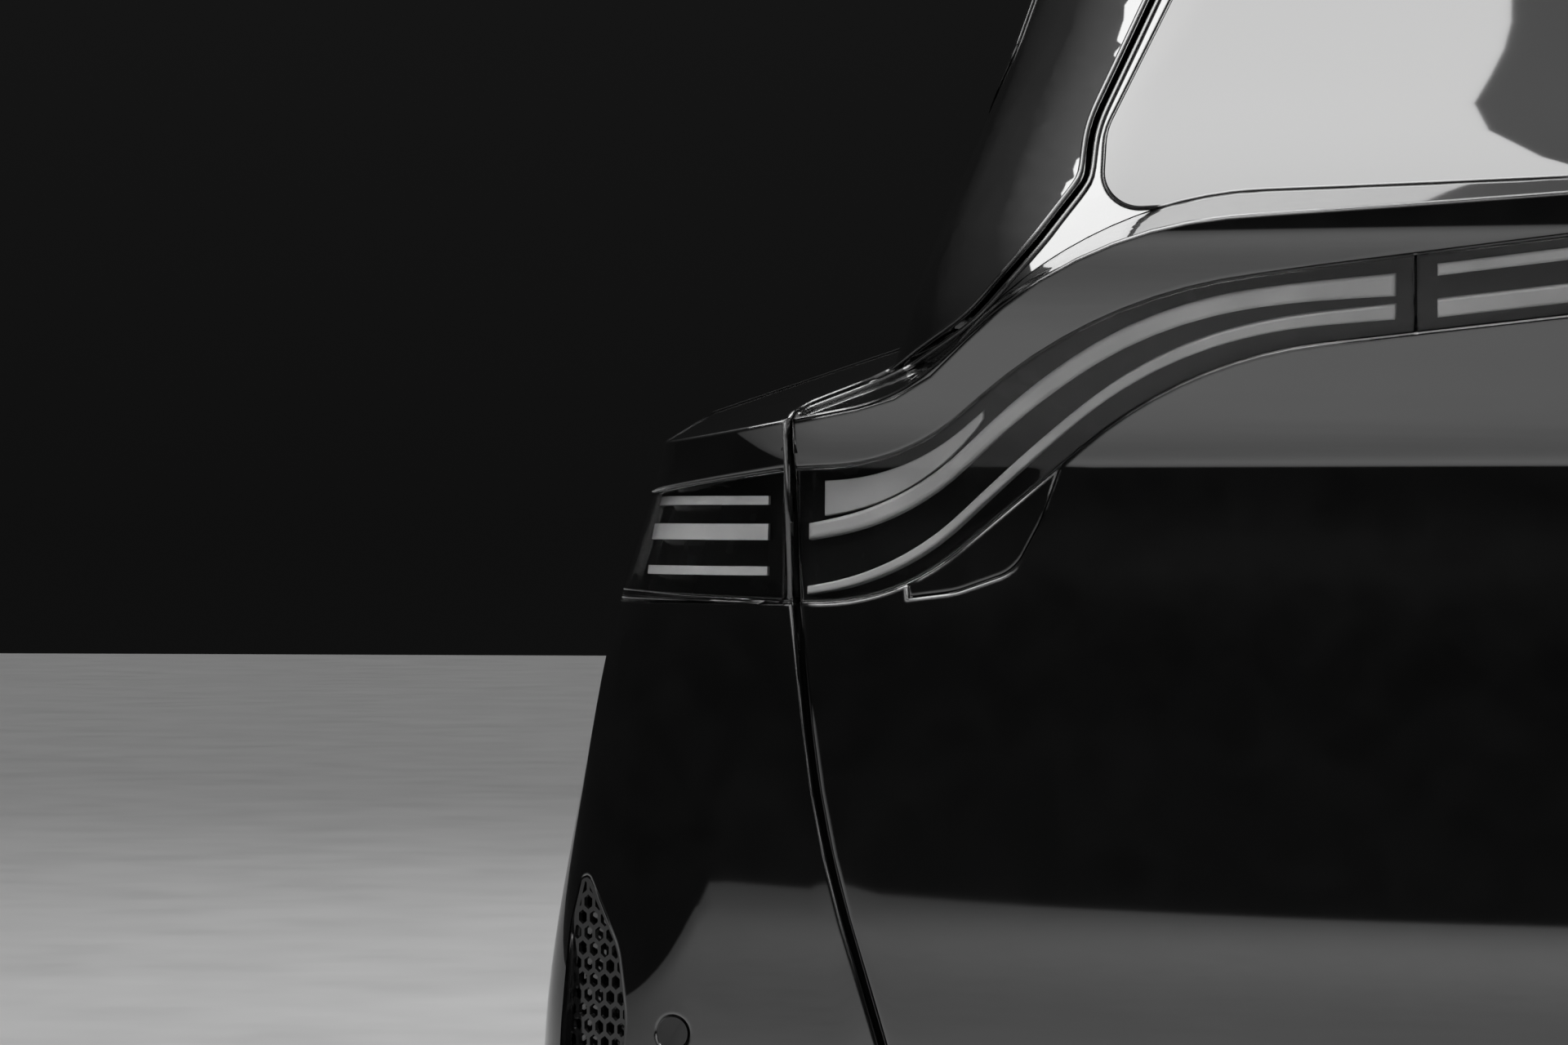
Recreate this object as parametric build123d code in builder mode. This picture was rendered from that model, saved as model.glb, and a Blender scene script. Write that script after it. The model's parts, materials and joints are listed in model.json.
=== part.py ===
from build123d import *
from math import cos, radians, sin, sqrt, tan
import os

os.makedirs("parts", exist_ok=True)

# Rear end of a large SUV body, from just behind the rear wheels to the tail: the tailgate in
# its opening, the body sides, the bumper and the full-width wave lamp. Millimetres, +X to the
# right of the vehicle, +Y forward, +Z up. The origin is the middle of the load floor's front
# face, where the section joins the rest of the body.

# Outer shape below the shoulder: plan sections, from the bumper's lower edge to the tail lip
BODY_SECTIONS = (
    # height, half width at the front cut, reach to the rear, corner radius
    (-370, 940, 560, 130),
    (-230, 968, 616, 150),
    (-50, 976, 636, 160),
    (120, 949, 632, 165),
    (250, 922, 626, 165),
    (345, 893, 618, 160),
    (440, 874, 636, 150),
    (560, 857, 642, 140),
)
# Outer shape of the cabin above it
CABIN_SECTIONS = (
    # height, half width, reach, corner radius
    (360, 745, 478, 170),
    (480, 712, 452, 170),
    (600, 665, 380, 165),
    (760, 612, 280, 150),
    (920, 556, 185, 105),
    (1060, 500, 130, 55),
)
TAIL_BOW = 3240.0          # plan radius of the tail
SIDE_TAPER = 5.0           # degrees that each side runs in towards the tail
CUT_Y = 0.0                # the section's front plane
PAST_CUT = 30.0            # how far inner shapes run past that plane

# Upper limit of the lower body: lip at the tail, shoulder at the sides
DECK_REAR_Y = -700.0
DECK_FRONT_Y = 60.0
DECK_PROFILE = (
    # x at the rear, z at the rear, x at the front, z at the front, corner radius
    (0, 524, 0, 592, 1500),
    (540, 480, 560, 600, 300),
    (668, 364, 690, 460, 130),
    (838, 338, 900, 388, 60),
    (1000, 190, 1010, 300, 0),
)
DECK_BASE_Z = -600.0

# Roof
ROOF_Z = 1005.0
ROOF_SHOULDER = (470.0, 999.0)
ROOF_EDGE = (600.0, 900.0)
ROOF_EDGE_R = 165.0
ROOF_END_Y = -116.0

WALL = 50.0                # body side and tailgate, outer skin to inner skin
SHUT_GAP = 5.0             # tailgate to body
PANEL_FIT = 0.3            # between pieces of one body
GATE_FRONT_Y = -140.0      # the tailgate lies behind this plane
SHOULDER_X = 650.0         # beyond this, behind SHOULDER_Y too, clear of the shoulder's underside
SHOULDER_Y = -335.0
SKIN = 8.0                 # tailgate's edge, outside its thick part
SKIN_WIDTH = 38.0
HINGE_LAND = 340.0         # half width left at full thickness under the hinges
HINGE_Y, HINGE_Z = -128.0, 990.0
BUMPER_TOP_Z = 247.0

# Outlines seen from the rear, right half from the bottom middle upwards
GATE_OUTLINE = (
    # x, z, corner radius
    (662, -106, 42),
    (724, 97, 700),
    (740, 246, 0),
    (747, 378, 8),
    (640, 441, 110),
    (592, 495, 60),
    (557, 542, 25),
    (556, 580, 90),
    (396, 966, 30),
)
GLASS_OUTLINE = (
    (0, 554, 0),
    (370, 525, 900),
    (548, 519, 28),
    (548, 578, 48),
    (392, 930, 40),
)
GLASS_THICKNESS = 5.0
GLASS_LAND = 70.0          # width of the step that the rear glass lies on

# Wave lamp: rows from the middle outwards on top, and back below
WAVE_UPPER = (
    (0, 510, 1500),
    (535, 449, 350),
    (668, 340, 150),
    (760, 336, 0),
)
WAVE_LOWER = (
    (760, 246, 0),
    (672, 247, 150),
    (478, 407, 300),
    (0, 457, 1500),
)
WAVE_JOINT_X = 328.0       # where the side lamps meet the middle one
SIDE_LAMP_OUTLINE = (
    (751, 336, 6),
    (930, 312, 0),
    (930, 254, 0),
    (750, 247, 6),
)
SIDE_LAMP_FRONT_Y = -330.0
LAMP_DEPTH = 38.0
LENS_THICKNESS = 3.5
GUIDE_FRONT = 8.0          # depth of the light guides' faces
TRAY_FRONT = 18.0          # depth of the tray's face
LAMP_RIM = 8.0             # light guides end this far inside the tailgate's edge
LAMP_END = 12.0            # and this far from the lamps' joints
SIDE_RIBBONS = ((0.18, 0.42), (0.62, 0.84))      # upper and lower limit, shares of the height
MIDDLE_RIBBONS = ((0.12, 0.34), (0.52, 0.76))
SIDE_BARS = ((312.0, 318.0), (288.0, 299.0), (264.0, 270.0))   # lower and upper z
SIDE_BAR_X = (764.0, 858.0)
SIDE_BAR_FRONT_Y = -400.0
# Small flush cover under the foot of the wave
COVER_OUTLINE = (
    # x, z, corner radius
    (560, 341, 0),
    (575, 300, 60),
    (592, 268, 30),
    (640, 252, 60),
    (672, 243, 0),
    (672, 290, 0),
)
COVER_THICKNESS = 4.0
COVER_GAP = 0.8

QUARTER_GLASS = (
    # y, z, corner radius
    (-32, 600, 30),
    (-218, 600, 40),
    (-104, 868, 45),
    (-32, 868, 25),
)
QUARTER_LAND = 24.0

# Honeycomb vent on each bumper corner
VENT_OUTLINE = (
    # x, z, corner radius
    (901, 62, 5),
    (871, 8, 50),
    (864, -40, 80),
    (872, -120, 100),
    (886, -178, 12),
    (908, -182, 12),
    (919, -70, 260),
    (912, 20, 80),
)
VENT_FRONT_Y = -440.0
VENT_DEPTH = 30.0
VENT_PLATE = 3.0
VENT_MARGIN = 4.0          # solid edge round the cells
VENT_MIDDLE = (875.0, -488.0, -60.0)   # on the plate, 19 mm behind the surface
CELL_ROWS = 11             # each way from the middle
CELL_COLUMNS = (-2, 5)
CELL_ACROSS = 9.0          # across the flats of one cell
CELL_PITCH = 12.4
CELL_TURN = 42.0           # degrees from straight back to the direction the cells face

LOWER_TRIM_Z = -205.0      # bumper cover above, black lower trim below
SENSORS = ((829.0, -47.0), (300.0, -155.0))      # x, z of the right-hand ones
SENSOR_R = 11.0
REFLECTOR = (560.0, 720.0, -190.0, -160.0)       # x and z limits of the right one
PLATE_POCKET = (185.0, 30.0, 214.0, 22.0)        # half width, low, high, depth
PLATE = (152.5, 46.0, 198.0, 2.0)                # half width, low, high, thickness

# Roof spoiler: profile in (y, z) behind the tailgate's upper edge
SPOILER_PROFILE = (
    (-142, 1000.5),
    (-316, 993),
    (-332, 984),
    (-322, 975),
    (-190, 944),
    (-150, 944),
    (-142, 966.3),
)
SPOILER_ROOT_X = 396.0
SPOILER_TIP_X = 492.0
SPOILER_WING_Y = -170.0
SPOILER_LOW_Z = 966.3
WING_GAP = 6.0
STOP_LAMP = (150.0, 979.0, 989.0, -312.0)        # half width, low, high, front

# Hinges, in the gap between the roof and the spoiler
HINGE_X = 300.0
KNUCKLE_R = 8.0
KNUCKLE_WIDTH = 15.0
PIN_R = 4.0
PIN_CLEARANCE = 0.3
LATCH = (45.0, -618.0, -55.0, 5.0)               # half width, rear y, low, high
STRIKER_HALF, STRIKER_REAR_Y, STRIKER_Z, STRIKER_R = 14.0, -602.0, -25.0, 4.0
LATCH_NOTCH = 28.0         # half width of the trim's notch round the striker
LATCH_SLOT = (24.0, -612.0, 16.0)                # half width, rear y, half height

TRIM_MARGIN = 64.0         # inner trim inside the tailgate's outline
TRIM_THICKNESS = 4.0
SEAL_BACK = 56.0           # depth at which the body's rebate behind the tailgate lies
FRAME_BACK = 80.0
FRAME_REACH = 40.0         # body frame outside the tailgate's outline
LIP = 58.0                 # and inside it
SEAL_OUT, SEAL_IN = 42.0, 52.0
SEAL_GAP = 1.0             # closed tailgate to seal
FLOOR_TOP = 20.0
FLOOR_THICKNESS = 40.0
SILL_HALF = 700.0
SIDE_TRIM_TOP = 420.0


def second_slopes(z, values):
    """Second derivatives of the natural cubic spline through the values at heights z."""
    c, d = [0.0], [0.0]
    for i in range(1, len(z) - 1):
        below, above = z[i] - z[i - 1], z[i + 1] - z[i]
        bend = 6 * ((values[i + 1] - values[i]) / above - (values[i] - values[i - 1]) / below)
        pivot = 2 * (below + above) - below * c[-1]
        c.append(above / pivot)
        d.append((bend - below * d[-1]) / pivot)
    slopes = [0.0] * len(z)
    for i in range(len(z) - 2, 0, -1):
        slopes[i] = d[i] - c[i] * slopes[i + 1]
    return slopes


def with_middles(table):
    """The table with one more height in each gap, so that the loft keeps to the spline."""
    z, *columns = zip(*table)
    bends = [second_slopes(z, column) for column in columns]
    rows = []
    for i in range(len(z) - 1):
        gap = z[i + 1] - z[i]
        rows.append(table[i])
        rows.append((
            (z[i] + z[i + 1]) / 2,
            *[(v[i] + v[i + 1]) / 2 - (m[i] + m[i + 1]) * gap**2 / 16 for v, m in zip(columns, bends)],
        ))
    return [*rows, table[-1]]


def plan_section(z, half, reach, corner, inset):
    """One closed plan outline of the body at height z, moved inwards by inset."""
    w, d = half - inset, reach - inset
    front = CUT_Y + (PAST_CUT if inset > 0 else 0)
    slope = tan(radians(SIDE_TAPER))
    # where the side line x = w + y * slope meets the bow, a circle about (0, TAIL_BOW - d)
    a = 1 + slope**2
    b = 2 * (w * slope - (TAIL_BOW - d))
    c = w**2 + (TAIL_BOW - d) ** 2 - TAIL_BOW**2
    y = (-b - sqrt(b**2 - 4 * a * c)) / (2 * a)
    x = w + y * slope
    with BuildSketch(Plane.XY.offset(z)) as sketch:
        with BuildLine():
            Polyline((-x, y), (-w - front * slope, front), (w + front * slope, front), (x, y))
            ThreePointArc((x, y), (0, -d), (-x, y))
        make_face()
        fillet(sketch.vertices().sort_by(Axis.Y)[:2], max(corner - inset, 8))
    return sketch.sketch


def plan_loft(table, inset):
    with BuildPart() as part:
        for z, half, reach, corner in with_middles(table):
            add(plan_section(z, half, reach, corner, inset))
        loft()
    return part.part


def rounded_face(plane, rows, grow=0.0):
    """Closed outline through rows of (x, z, corner radius) on a plane, grown all round."""
    with BuildSketch(plane) as sketch:
        with BuildLine():
            Polyline(*[(x, z) for x, z, _ in rows], close=True)
        make_face()
        for x, z, radius in rows:
            if radius:
                fillet(sketch.vertices().sort_by_distance((x, z, 0))[0], radius)
        if grow:
            offset(amount=grow, kind=Kind.INTERSECTION, mode=Mode.REPLACE)
    return sketch.sketch


def both_sides(rows):
    """Rows from the middle outwards on the right, joined to their mirror on the left."""
    left = [(-x, *rest) for x, *rest in reversed(rows) if x]
    return [*left, *rows]


def under_deck(inset):
    """Everything below the deck surface, lowered by inset."""
    with BuildPart() as part:
        for y, ix, iz in ((DECK_REAR_Y, 0, 1), (DECK_FRONT_Y, 2, 3)):
            rows = both_sides([(row[ix], row[iz] - inset, row[4]) for row in DECK_PROFILE])
            base = [(1010, DECK_BASE_Z, 0), (-1010, DECK_BASE_Z, 0)]
            add(rounded_face(Plane.XZ.offset(-y), [*rows, *base]))
        loft(ruled=True)
    return part.part


def under_roof(inset):
    x1, z1 = ROOF_SHOULDER
    x2, z2 = ROOF_EDGE
    with BuildPart() as part:
        with BuildSketch(Plane.XZ.offset(-PAST_CUT - 10)):
            with BuildLine():
                ThreePointArc((-x1, z1 - inset), (0, ROOF_Z - inset), (x1, z1 - inset))
                RadiusArc((x1, z1 - inset), (x2 - inset, z2), ROOF_EDGE_R)
                Polyline((x2 - inset, z2), (760, 600), (800, 300), (-800, 300), (-760, 600), (inset - x2, z2))
                RadiusArc((inset - x2, z2), (-x1, z1 - inset), ROOF_EDGE_R)
            make_face()
        extrude(amount=700)
    return part.part


def lower_body(inset):
    return plan_loft(BODY_SECTIONS, inset) & under_deck(inset)


def cabin(inset):
    return plan_loft(CABIN_SECTIONS, inset) & under_roof(inset)


def envelope(inset):
    return lower_body(inset) + cabin(inset)


def cut_prism(rows, grow=0.0):
    """An outline seen from the rear, run through the whole section along Y."""
    with BuildPart() as part:
        extrude(rounded_face(Plane.XZ.offset(1000), rows, grow), amount=1100, dir=(0, 1, 0))
    return part.part


def block(x0, x1, y0, y1, z0, z1):
    """Plain box between two corners, made outside any part's own block."""
    return Pos((x0 + x1) / 2, (y0 + y1) / 2, (z0 + z1) / 2) * Box(x1 - x0, y1 - y0, z1 - z0)


def mirrored(part):
    """The part and its mirror image across the vehicle's middle plane."""
    return Part() + [part, mirror(part, Plane.YZ)]


def side_prism(rows, x0, x1, grow=0.0):
    """An outline of (y, z, corner radius) seen from the right, run along X from x0 to x1."""
    with BuildPart() as part:
        extrude(rounded_face(Plane.YZ.offset(x0), rows, grow), amount=x1 - x0, dir=(1, 0, 0))
    return part.part


def x_cylinder(radius, x0, x1, y, z):
    plane = Plane((x0, y, z), x_dir=(0, 1, 0), z_dir=(1, 0, 0))
    return plane * Cylinder(radius, x1 - x0, align=(Align.CENTER, Align.CENTER, Align.MIN))


def ribbon_zone(top, bottom):
    """Stripe of the wave between two shares of its height, as an outline seen from the rear."""
    edges = []
    for share in (top, bottom):
        edges.append([
            tuple(u + share * (v - u) for u, v in zip(upper, lower))
            for upper, lower in zip(WAVE_UPPER, reversed(WAVE_LOWER))
        ])
    upper, lower = edges
    return cut_prism([
        *both_sides(upper),
        *reversed(lower),
        *[(-x, z, radius) for x, z, radius in lower if x],
    ])


# Whole shapes at the depths where pieces meet
outer = envelope(0)
inner = envelope(WALL)
inner_fit = envelope(WALL + PANEL_FIT)
rebate = envelope(SEAL_BACK)
frame_back = envelope(FRAME_BACK)
skin_back = envelope(SKIN)
low_outer = lower_body(0)
behind_lens = lower_body(LENS_THICKNESS)
guide_front = lower_body(GUIDE_FRONT)
tray_front = lower_body(TRAY_FRONT)
tray_front_fit = lower_body(TRAY_FRONT - PANEL_FIT)
tray_back = lower_body(LAMP_DEPTH - PANEL_FIT)
behind_lamp = lower_body(LAMP_DEPTH)
cabin_outer = cabin(0)
glass_back = cabin(GLASS_THICKNESS)
glass_step = cabin(GLASS_THICKNESS + PANEL_FIT)

# Zones of the panels
right_half = block(0, 1100, -1000, 100, -1000, 1200)
gate_side = block(-1100, 1100, -1000, GATE_FRONT_Y, -1000, 1200)
shoulders = mirrored(block(SHOULDER_X, 1100, SHOULDER_Y, 200, -1000, 1200))
body_shoulders = mirrored(block(SHOULDER_X + SHUT_GAP, 1100, SHOULDER_Y + SHUT_GAP, 200, -1000, 1200))
behind_hinge = block(-1100, 1100, -1000, ROOF_END_Y, -1000, 1200)
gate_rows = both_sides(GATE_OUTLINE)
gate_zone = (cut_prism(gate_rows) & gate_side) - shoulders
gate_cut = (cut_prism(gate_rows, SHUT_GAP) & behind_hinge) - body_shoulders
gate_edge = cut_prism(gate_rows, 20) - cut_prism(gate_rows, -SKIN_WIDTH)
gate_edge = gate_edge - block(-HINGE_LAND, HINGE_LAND, -1000, 100, 880, 1200)
glass_rows = both_sides(GLASS_OUTLINE)
glass_zone = cut_prism(glass_rows) & gate_side
glass_fit = cut_prism(glass_rows, -PANEL_FIT) & gate_side
glass_hole = cut_prism(glass_rows, -GLASS_LAND) & block(-700, 700, -700, -60, 300, 1200)
wave_rows = [
    *both_sides(WAVE_UPPER),
    *WAVE_LOWER,
    *[(-x, z, radius) for x, z, radius in reversed(WAVE_LOWER) if x],
]
wave_zone = cut_prism(wave_rows)
wave_fit = cut_prism(wave_rows, -PANEL_FIT) & cut_prism(gate_rows, -PANEL_FIT)
side_wave_fit = wave_fit & block(WAVE_JOINT_X + 1, 900, -1000, 0, 0, 700)
middle_wave_fit = wave_fit & block(1 - WAVE_JOINT_X, WAVE_JOINT_X - 1, -1000, 0, 0, 700)
guide_edge = cut_prism(gate_rows, -LAMP_RIM)
side_guide_span = block(WAVE_JOINT_X + LAMP_END, 900, -1000, 0, 0, 700) & guide_edge
middle_guide_span = block(LAMP_END - WAVE_JOINT_X, WAVE_JOINT_X - LAMP_END, -1000, 0, 0, 700)
cover_right = cut_prism(COVER_OUTLINE)
cover_pocket = mirrored((low_outer & cover_right) - lower_body(COVER_THICKNESS + PANEL_FIT))

pocket_half, pocket_low, pocket_high, pocket_depth = PLATE_POCKET
pocket = block(-pocket_half, pocket_half, -1000, 0, pocket_low, pocket_high) - lower_body(pocket_depth)
latch_half, latch_rear, latch_low, latch_high = LATCH
latch_pocket = block(
    -latch_half - PANEL_FIT, latch_half + PANEL_FIT, latch_rear - PANEL_FIT, -500,
    latch_low - PANEL_FIT, latch_high + PANEL_FIT,
)

# Tailgate
lamp_recess = (low_outer & wave_zone) - behind_lamp
glass_recess = (cabin_outer & glass_zone) - glass_step
edge_groove = skin_back & gate_edge
gate_outer = outer & gate_zone
with BuildPart() as tailgate_shell:
    add(gate_outer)
    add([edge_groove, lamp_recess, glass_recess, glass_hole, pocket, cover_pocket], mode=Mode.SUBTRACT)
    add([latch_pocket, inner], mode=Mode.SUBTRACT)
tailgate_shell.part.label = "tailgate_shell"
export_step(tailgate_shell.part, "parts/tailgate_shell.step")

lamp_cover = (low_outer & cut_prism(COVER_OUTLINE, -COVER_GAP)) - cut_prism(wave_rows, COVER_GAP)
lamp_cover = mirrored(lamp_cover - lower_body(COVER_THICKNESS))
with BuildPart() as lamp_covers:
    add(lamp_cover)
lamp_covers.part.label = "lamp_covers"
export_step(lamp_covers.part, "parts/lamp_covers.step")

trim_front = inner_fit & (cut_prism(gate_rows, -TRIM_MARGIN) & gate_side)
latch_notch = block(-LATCH_NOTCH, LATCH_NOTCH, -1000, 0, -1000, STRIKER_Z + LATCH_NOTCH)
trim_cuts = [latch_notch, envelope(WALL + TRIM_THICKNESS), cut_prism(glass_rows, -GLASS_LAND)]
with BuildPart() as tailgate_trim:
    add(trim_front)
    add(trim_cuts, mode=Mode.SUBTRACT)
tailgate_trim.part.label = "tailgate_trim"
export_step(tailgate_trim.part, "parts/tailgate_trim.step")

glass_pane = (cabin_outer & glass_fit) - glass_back
with BuildPart() as rear_glass:
    add(glass_pane)
rear_glass.part.label = "rear_glass"
export_step(rear_glass.part, "parts/rear_glass.step")

side_lens_pair = mirrored((low_outer & side_wave_fit) - behind_lens)
with BuildPart() as wave_lenses:
    add(side_lens_pair)
wave_lenses.part.label = "wave_lenses"
export_step(wave_lenses.part, "parts/wave_lenses.step")

side_tray_pair = mirrored((tray_front & side_wave_fit) - tray_back)
with BuildPart() as wave_trays:
    add(side_tray_pair)
wave_trays.part.label = "wave_trays"
export_step(wave_trays.part, "parts/wave_trays.step")

side_guides = [
    mirrored((guide_front & (ribbon_zone(top, bottom) & side_guide_span)) - tray_front_fit)
    for top, bottom in SIDE_RIBBONS
]
with BuildPart() as wave_guides:
    add(side_guides)
wave_guides.part.label = "wave_guides"
export_step(wave_guides.part, "parts/wave_guides.step")

middle_skin = (low_outer & middle_wave_fit) - behind_lens
with BuildPart() as middle_lens:
    add(middle_skin)
middle_lens.part.label = "middle_lens"
export_step(middle_lens.part, "parts/middle_lens.step")

middle_shelf = (tray_front & middle_wave_fit) - tray_back
with BuildPart() as middle_tray:
    add(middle_shelf)
middle_tray.part.label = "middle_tray"
export_step(middle_tray.part, "parts/middle_tray.step")

middle_bars = [
    (guide_front & (ribbon_zone(top, bottom) & middle_guide_span)) - tray_front_fit
    for top, bottom in MIDDLE_RIBBONS
]
with BuildPart() as middle_guides:
    add(middle_bars)
middle_guides.part.label = "middle_guides"
export_step(middle_guides.part, "parts/middle_guides.step")

# Spoiler, stop lamp, number plate
with BuildPart() as spoiler_blade:
    with BuildSketch(Plane.YZ.offset(-SPOILER_TIP_X)):
        with BuildLine():
            Polyline(*SPOILER_PROFILE, close=True)
        make_face()
    extrude(amount=2 * SPOILER_TIP_X)
root_span = block(-SPOILER_ROOT_X, SPOILER_ROOT_X, -600, GATE_FRONT_Y - 2, 900, 1100)
wing_span = block(-600, 600, -600, SPOILER_WING_Y, 900, 1100)
spoiler_root = (spoiler_blade.part & root_span) - cabin_outer
spoiler_top = cabin_outer & block(
    -SPOILER_ROOT_X, SPOILER_ROOT_X, -600, GATE_FRONT_Y - 2, SPOILER_LOW_Z, 1100
)
spoiler_wings = (spoiler_blade.part & wing_span) - cabin(-WING_GAP)
lamp_half, lamp_low, lamp_high, lamp_front = STOP_LAMP
stop_zone = block(-lamp_half, lamp_half, -600, lamp_front, lamp_low, lamp_high)
with BuildPart() as roof_spoiler:
    add([spoiler_root, spoiler_top, spoiler_wings])
    add(stop_zone, mode=Mode.SUBTRACT)
roof_spoiler.part.label = "roof_spoiler"
export_step(roof_spoiler.part, "parts/roof_spoiler.step")

stop_fit = block(
    1 - lamp_half, lamp_half - 1, -600, lamp_front - PANEL_FIT, lamp_low + PANEL_FIT, lamp_high - PANEL_FIT
)
stop_bar = spoiler_blade.part & stop_fit
with BuildPart() as stop_lamp:
    add(stop_bar)
stop_lamp.part.label = "stop_lamp"
export_step(stop_lamp.part, "parts/stop_lamp.step")

plate_half, plate_low, plate_high, plate_thickness = PLATE
plate_zone = block(-plate_half, plate_half, -1000, 0, plate_low, plate_high)
plate_face = lower_body(pocket_depth - plate_thickness - PANEL_FIT)
plate_back = lower_body(pocket_depth - PANEL_FIT)
blank_plate = (plate_face & plate_zone) - plate_back
with BuildPart() as number_plate:
    add(blank_plate)
number_plate.part.label = "number_plate"
export_step(number_plate.part, "parts/number_plate.step")

# Body: roof and sides
roof_end = (outer & block(-470, 470, ROOF_END_Y, 100, 930, 1100)) - inner
with BuildPart() as roof_panel:
    add(roof_end)
roof_panel.part.label = "roof_panel"
export_step(roof_panel.part, "parts/roof_panel.step")

roof_clear = block(-470 - PANEL_FIT, 470 + PANEL_FIT, ROOF_END_Y - PANEL_FIT, 100, 930, 1100)
hinge_gap = block(-SPOILER_ROOT_X - 6, SPOILER_ROOT_X + 6, -300, ROOF_END_Y, 900, 1100)
quarter_zone = side_prism(QUARTER_GLASS, 400, 900)
side_window = (cabin_outer & quarter_zone) - glass_step
side_lamp_limit = block(700, 1100, -1000, SIDE_LAMP_FRONT_Y, 0, 700)
side_lamp_hollow = (low_outer & (cut_prism(SIDE_LAMP_OUTLINE) & side_lamp_limit)) - behind_lamp
side_outer = outer & block(0, 1100, -1000, 100, BUMPER_TOP_Z, 1200)
side_cuts = [side_window, side_prism(QUARTER_GLASS, 400, 900, -QUARTER_LAND), side_lamp_hollow]
with BuildPart() as side_panel_right:
    add(side_outer)
    add([gate_cut, roof_clear, hinge_gap], mode=Mode.SUBTRACT)
    add(side_cuts, mode=Mode.SUBTRACT)
    add(inner, mode=Mode.SUBTRACT)
side_panel_right.part.label = "side_panel_right"
export_step(side_panel_right.part, "parts/side_panel_right.step")

with BuildPart() as side_panel_left:
    add(side_panel_right.part)
    mirror(about=Plane.YZ, mode=Mode.REPLACE)
side_panel_left.part.label = "side_panel_left"
export_step(side_panel_left.part, "parts/side_panel_left.step")

quarter_pair = mirrored((cabin_outer & side_prism(QUARTER_GLASS, 400, 900, -PANEL_FIT)) - glass_back)
with BuildPart() as quarter_glasses:
    add(quarter_pair)
quarter_glasses.part.label = "quarter_glasses"
export_step(quarter_glasses.part, "parts/quarter_glasses.step")


def sensor_prisms(radius):
    """Round columns from the rear at each right-hand parking sensor."""
    planes = [Plane((x, -1000, z), x_dir=(1, 0, 0), z_dir=(0, 1, 0)) for x, z in SENSORS]
    lower = (Align.CENTER, Align.CENTER, Align.MIN)
    return Part() + [plane * Cylinder(radius, 1000, align=lower) for plane in planes]


# Bumper with its vents, sensors and reflectors
x0, x1, z0, z1 = REFLECTOR
reflector_zone = block(x0, x1, -1000, -400, z0, z1)
reflector_fit = block(x0 + PANEL_FIT, x1 - PANEL_FIT, -1000, -400, z0 + PANEL_FIT, z1 - PANEL_FIT)
vent_limit = block(700, 1100, -1000, VENT_FRONT_Y, -400, 200)
vent_hollow = (low_outer & (cut_prism(VENT_OUTLINE) & vent_limit)) - lower_body(VENT_DEPTH)
small_hollows = (low_outer & (sensor_prisms(SENSOR_R + PANEL_FIT) + reflector_zone)) - tray_front
bumper_hollows = mirrored(vent_hollow + small_hollows)
below_lamp = block(-1100, 1100, -1000, 100, -1000, BUMPER_TOP_Z - PANEL_FIT)
trim_split = block(-1100, 1100, -1000, 100, -1000, LOWER_TRIM_Z)
bumper_ring = (low_outer & below_lamp) - gate_cut - lower_body(WALL)
with BuildPart() as bumper_cover:
    add(bumper_ring)
    add([trim_split, bumper_hollows], mode=Mode.SUBTRACT)
bumper_cover.part.label = "bumper_cover"
export_step(bumper_cover.part, "parts/bumper_cover.step")

lower_ring = bumper_ring & trim_split.moved(Location((0, 0, -PANEL_FIT)))
with BuildPart() as lower_trim:
    add(lower_ring)
lower_trim.part.label = "lower_trim"
export_step(lower_trim.part, "parts/lower_trim.step")

side_lamp_fit = cut_prism(SIDE_LAMP_OUTLINE, -PANEL_FIT) & side_lamp_limit.moved(Location((0, -PANEL_FIT, 0)))
corner_lens_pair = mirrored((low_outer & side_lamp_fit) - behind_lens)
with BuildPart() as side_lamp_lenses:
    add(corner_lens_pair)
side_lamp_lenses.part.label = "side_lamp_lenses"
export_step(side_lamp_lenses.part, "parts/side_lamp_lenses.step")

corner_tray_pair = mirrored((tray_front & side_lamp_fit) - tray_back)
with BuildPart() as side_lamp_trays:
    add(corner_tray_pair)
side_lamp_trays.part.label = "side_lamp_trays"
export_step(side_lamp_trays.part, "parts/side_lamp_trays.step")

bars = Part() + [block(*SIDE_BAR_X, -1000, SIDE_BAR_FRONT_Y, low, high) for low, high in SIDE_BARS]
bar_pairs = mirrored((guide_front & bars) - tray_front_fit)
with BuildPart() as side_lamp_guides:
    add(bar_pairs)
side_lamp_guides.part.label = "side_lamp_guides"
export_step(side_lamp_guides.part, "parts/side_lamp_guides.step")

# Honeycomb plates: rows of six-sided cells cut square to the corner's surface
turn = radians(CELL_TURN)
middle_x, middle_y, middle_z = VENT_MIDDLE
cell_plane = Plane(VENT_MIDDLE, x_dir=(cos(turn), sin(turn), 0), z_dir=(sin(turn), -cos(turn), 0))
# the outline, widened on the slanting plane so that it looks the same from the rear
plate_rows = [((x - middle_x) / cos(turn), z - middle_z, radius) for x, z, radius in VENT_OUTLINE]
row_pitch = CELL_PITCH * sqrt(3) / 2
first_column, last_column = CELL_COLUMNS
cell_places = [
    ((column + row % 2 / 2) * CELL_PITCH, row * row_pitch)
    for row in range(-CELL_ROWS, CELL_ROWS + 1)
    for column in range(first_column, last_column + 1)
]
with BuildSketch() as cells:
    with Locations(*cell_places):
        RegularPolygon(CELL_ACROSS / 2, 6, major_radius=False, rotation=30)
cell_face = cells.sketch & rounded_face(Plane.XY, plate_rows, -VENT_MARGIN)
with BuildPart() as honeycomb:
    extrude(cell_plane * (rounded_face(Plane.XY, plate_rows, 4) - cell_face), amount=-VENT_PLATE)
plate_pair = mirrored(honeycomb.part & (cut_prism(VENT_OUTLINE, -PANEL_FIT) & vent_limit))
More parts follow.
